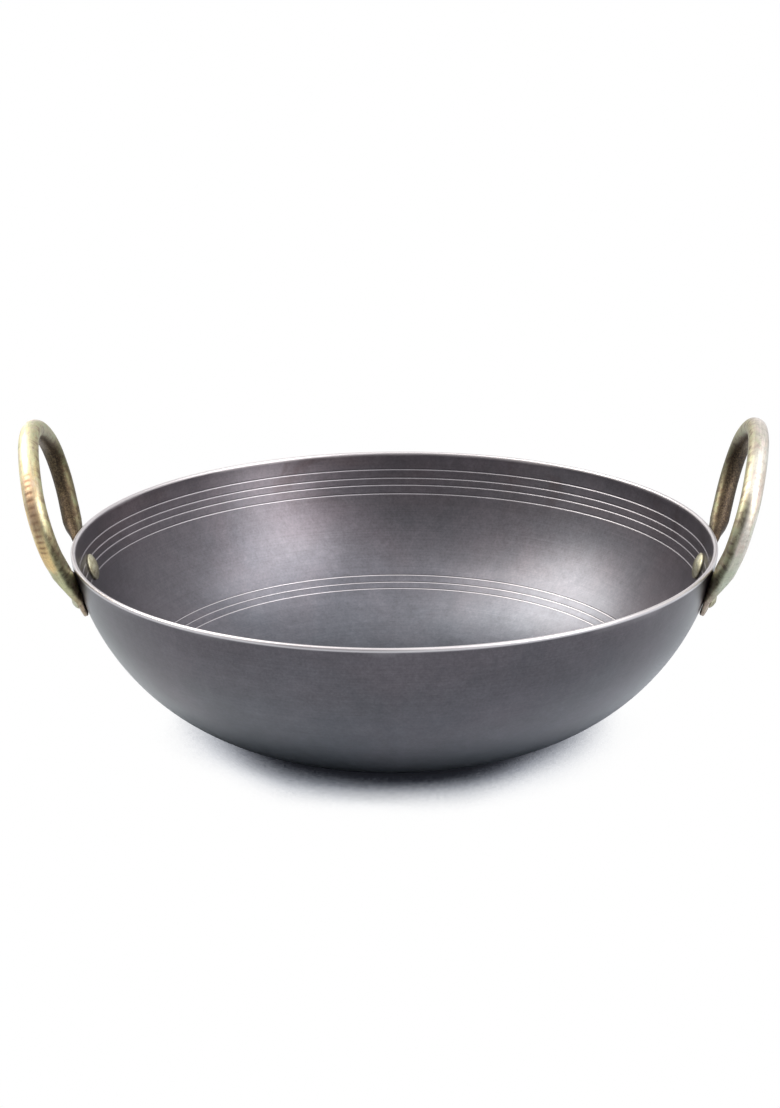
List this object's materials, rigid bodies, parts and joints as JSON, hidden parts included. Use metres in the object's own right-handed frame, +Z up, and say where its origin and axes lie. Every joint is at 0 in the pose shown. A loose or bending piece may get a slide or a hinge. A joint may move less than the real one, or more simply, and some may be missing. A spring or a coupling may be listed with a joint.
{
  "type": "kadai",
  "caption": "Round-bellied dark iron kadai with a flat base, a bright turned rim and riveted loop handles bent from round rod.",
  "frame": {"origin": "centre of the flat base's underside, on the bowl's axis, in the plane that the kadai stands on", "axes": "+Z up along the bowl's axis, the handles at the -X and +X sides, -Y the front"},
  "size_m": [0.2964, 0.26, 0.1275],
  "materials": {
    "iron": "bare dark sheet iron, spun and satin, with a bright turned rim and rings",
    "plated_rod": "yellow-passivated zinc plate on round steel rod",
    "rivet": "dull yellow-passivated zinc plate on steel"
  },
  "bodies": {
    "root": {"bowl": "iron", "left_handle": "plated_rod", "right_handle": "plated_rod", "rivet_left_front": "rivet", "rivet_left_back": "rivet", "rivet_right_front": "rivet", "rivet_right_back": "rivet"}
  },
  "joints": []
}
